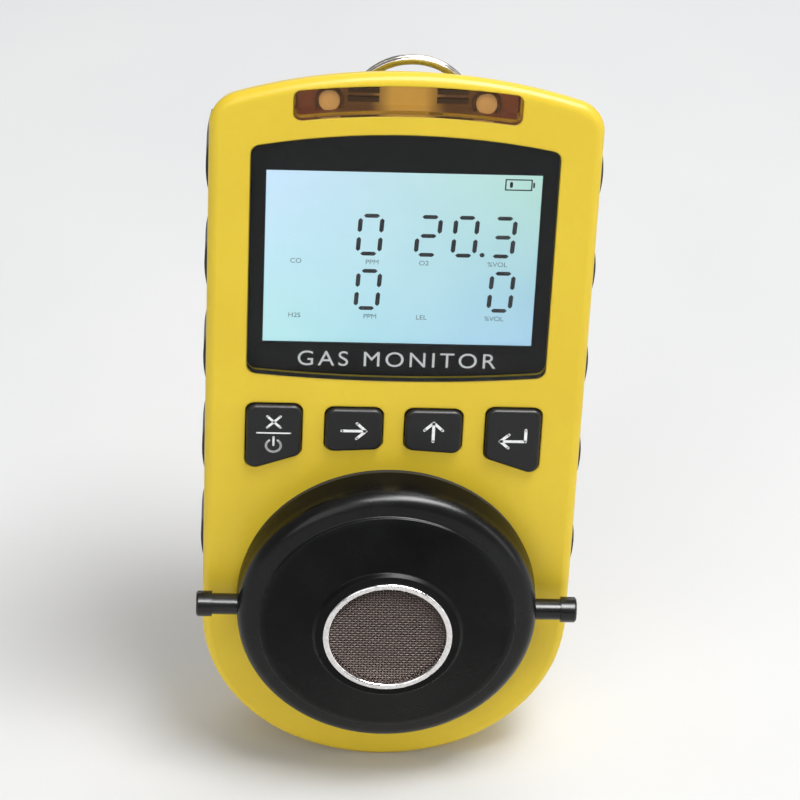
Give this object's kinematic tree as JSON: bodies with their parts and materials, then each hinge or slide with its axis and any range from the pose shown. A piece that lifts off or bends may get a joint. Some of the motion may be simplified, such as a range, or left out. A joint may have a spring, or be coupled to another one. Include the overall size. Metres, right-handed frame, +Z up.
{
  "type": "portable gas detector",
  "caption": "Hand-held gas monitor with colour display, push keys, alarm lamps, pull-off gas hood with hose barbs, sprung belt clip and lanyard ring.",
  "frame": {"origin": "middle of the back face, under the belt clip: the point that is held when it is worn", "axes": "+Z up, along the case's length; +Y out of the back, towards the wearer; +X right seen from the front"},
  "size_m": [0.065, 0.0514, 0.1356],
  "materials": {
    "case_yellow": "satin",
    "grip_rubber": "matte",
    "seal_rubber": "matte",
    "window_clear": "polished",
    "bezel_black": "gloss",
    "lcd_face": "satin",
    "light_guide": "gloss",
    "lens_smoke": "polished",
    "led_amber": "gloss",
    "key_black": "satin",
    "board_green": "satin",
    "part_black": "matte",
    "mat_grey": "matte",
    "steel": "satin",
    "bright_steel": "polished",
    "brass": "satin",
    "cell_wrap": "satin",
    "hood_black": "gloss",
    "membrane_dark": "matte",
    "mesh_steel": "satin",
    "barb_black": "gloss",
    "foam_grey": "matte",
    "label_silver": "satin",
    "sensor_white": "satin"
  },
  "bodies": {
    "case": {"front_shell": "case_yellow", "back_shell": "case_yellow", "case_seal": "seal_rubber", "side_grip_left": "grip_rubber", "side_grip_right": "grip_rubber", "threaded_inserts": "brass", "case_screws": "steel", "label_plate": "label_silver", "display_window": "window_clear", "display_bezel": "bezel_black", "lcd_glass": "lcd_face", "lcd_backlight": "light_guide", "lcd_holder": "part_black", "led_lens": "lens_smoke", "alarm_leds": "led_amber", "led_board": "board_green", "keypad_mat": "mat_grey", "key_switches": "steel", "main_board": "board_green", "board_screws": "steel", "buzzer": "part_black", "vibration_motor": "steel", "battery_cell": "cell_wrap", "battery_tray": "part_black", "battery_contacts": "part_black", "sensor_board": "board_green", "board_connector": "part_black", "sensor_carrier": "part_black", "sensor_gasket": "foam_grey", "charging_board": "board_green", "charging_socket": "steel", "clip_base": "steel", "clip_pin": "steel", "clip_spring": "steel", "ring_lug": "steel", "bracket_screws": "steel", "sensor_co": "sensor_white", "sensor_o2": "sensor_white", "sensor_h2s": "sensor_white", "sensor_lel": "steel"},
    "hood": {"gas_hood": "hood_black", "hood_seal": "seal_rubber", "dust_filter": "membrane_dark", "mesh_disc": "mesh_steel", "mesh_ring": "bright_steel", "hose_barb_left": "barb_black", "hose_barb_right": "barb_black"},
    "clip": {"clip_lever": "steel"},
    "ring": {"lanyard_ring": "bright_steel"},
    "flap": {"port_flap": "grip_rubber"},
    "rotor": {"motor_weight": "brass"},
    "key_power_body": {"key_power": "key_black"},
    "key_next_body": {"key_next": "key_black"},
    "key_up_body": {"key_up": "key_black"},
    "key_enter_body": {"key_enter": "key_black"}
  },
  "joints": [
    {"name": "key_power_press", "type": "slide", "parent": "case", "child": "key_power_body", "axis": [0, 1, 0], "range_m": [0, 0.0004], "stiffness_N_per_m": 3000, "springref_m": -0.0002},
    {"name": "key_next_press", "type": "slide", "parent": "case", "child": "key_next_body", "axis": [0, 1, 0], "range_m": [0, 0.0004], "stiffness_N_per_m": 3000, "springref_m": -0.0002},
    {"name": "key_up_press", "type": "slide", "parent": "case", "child": "key_up_body", "axis": [0, 1, 0], "range_m": [0, 0.0004], "stiffness_N_per_m": 3000, "springref_m": -0.0002},
    {"name": "key_enter_press", "type": "slide", "parent": "case", "child": "key_enter_body", "axis": [0, 1, 0], "range_m": [0, 0.0004], "stiffness_N_per_m": 3000, "springref_m": -0.0002},
    {"name": "hood_pull", "type": "slide", "parent": "case", "child": "hood", "axis": [0, -1, 0], "range_m": [0, 0.015]},
    {"name": "clip_hinge", "type": "hinge", "parent": "case", "child": "clip", "pos_m": [0, 0.0052, 0.01], "axis": [1, 0, 0], "range_deg": [0, 16], "stiffness_Nm_per_rad": 0.3, "springref_deg": -28.65},
    {"name": "ring_hinge", "type": "hinge", "parent": "case", "child": "ring", "pos_m": [0, 0.003, 0.0354], "axis": [-1, 0, 0], "range_deg": [0, 100]},
    {"name": "flap_hinge", "type": "hinge", "parent": "case", "child": "flap", "pos_m": [-0.0068, -0.007, -0.0676], "axis": [0, 1, 0], "range_deg": [0, 110]},
    {"name": "motor_spin", "type": "hinge", "parent": "case", "child": "rotor", "pos_m": [0.017, -0.0149, -0.004], "axis": [1, 0, 0], "continuous": true}
  ]
}
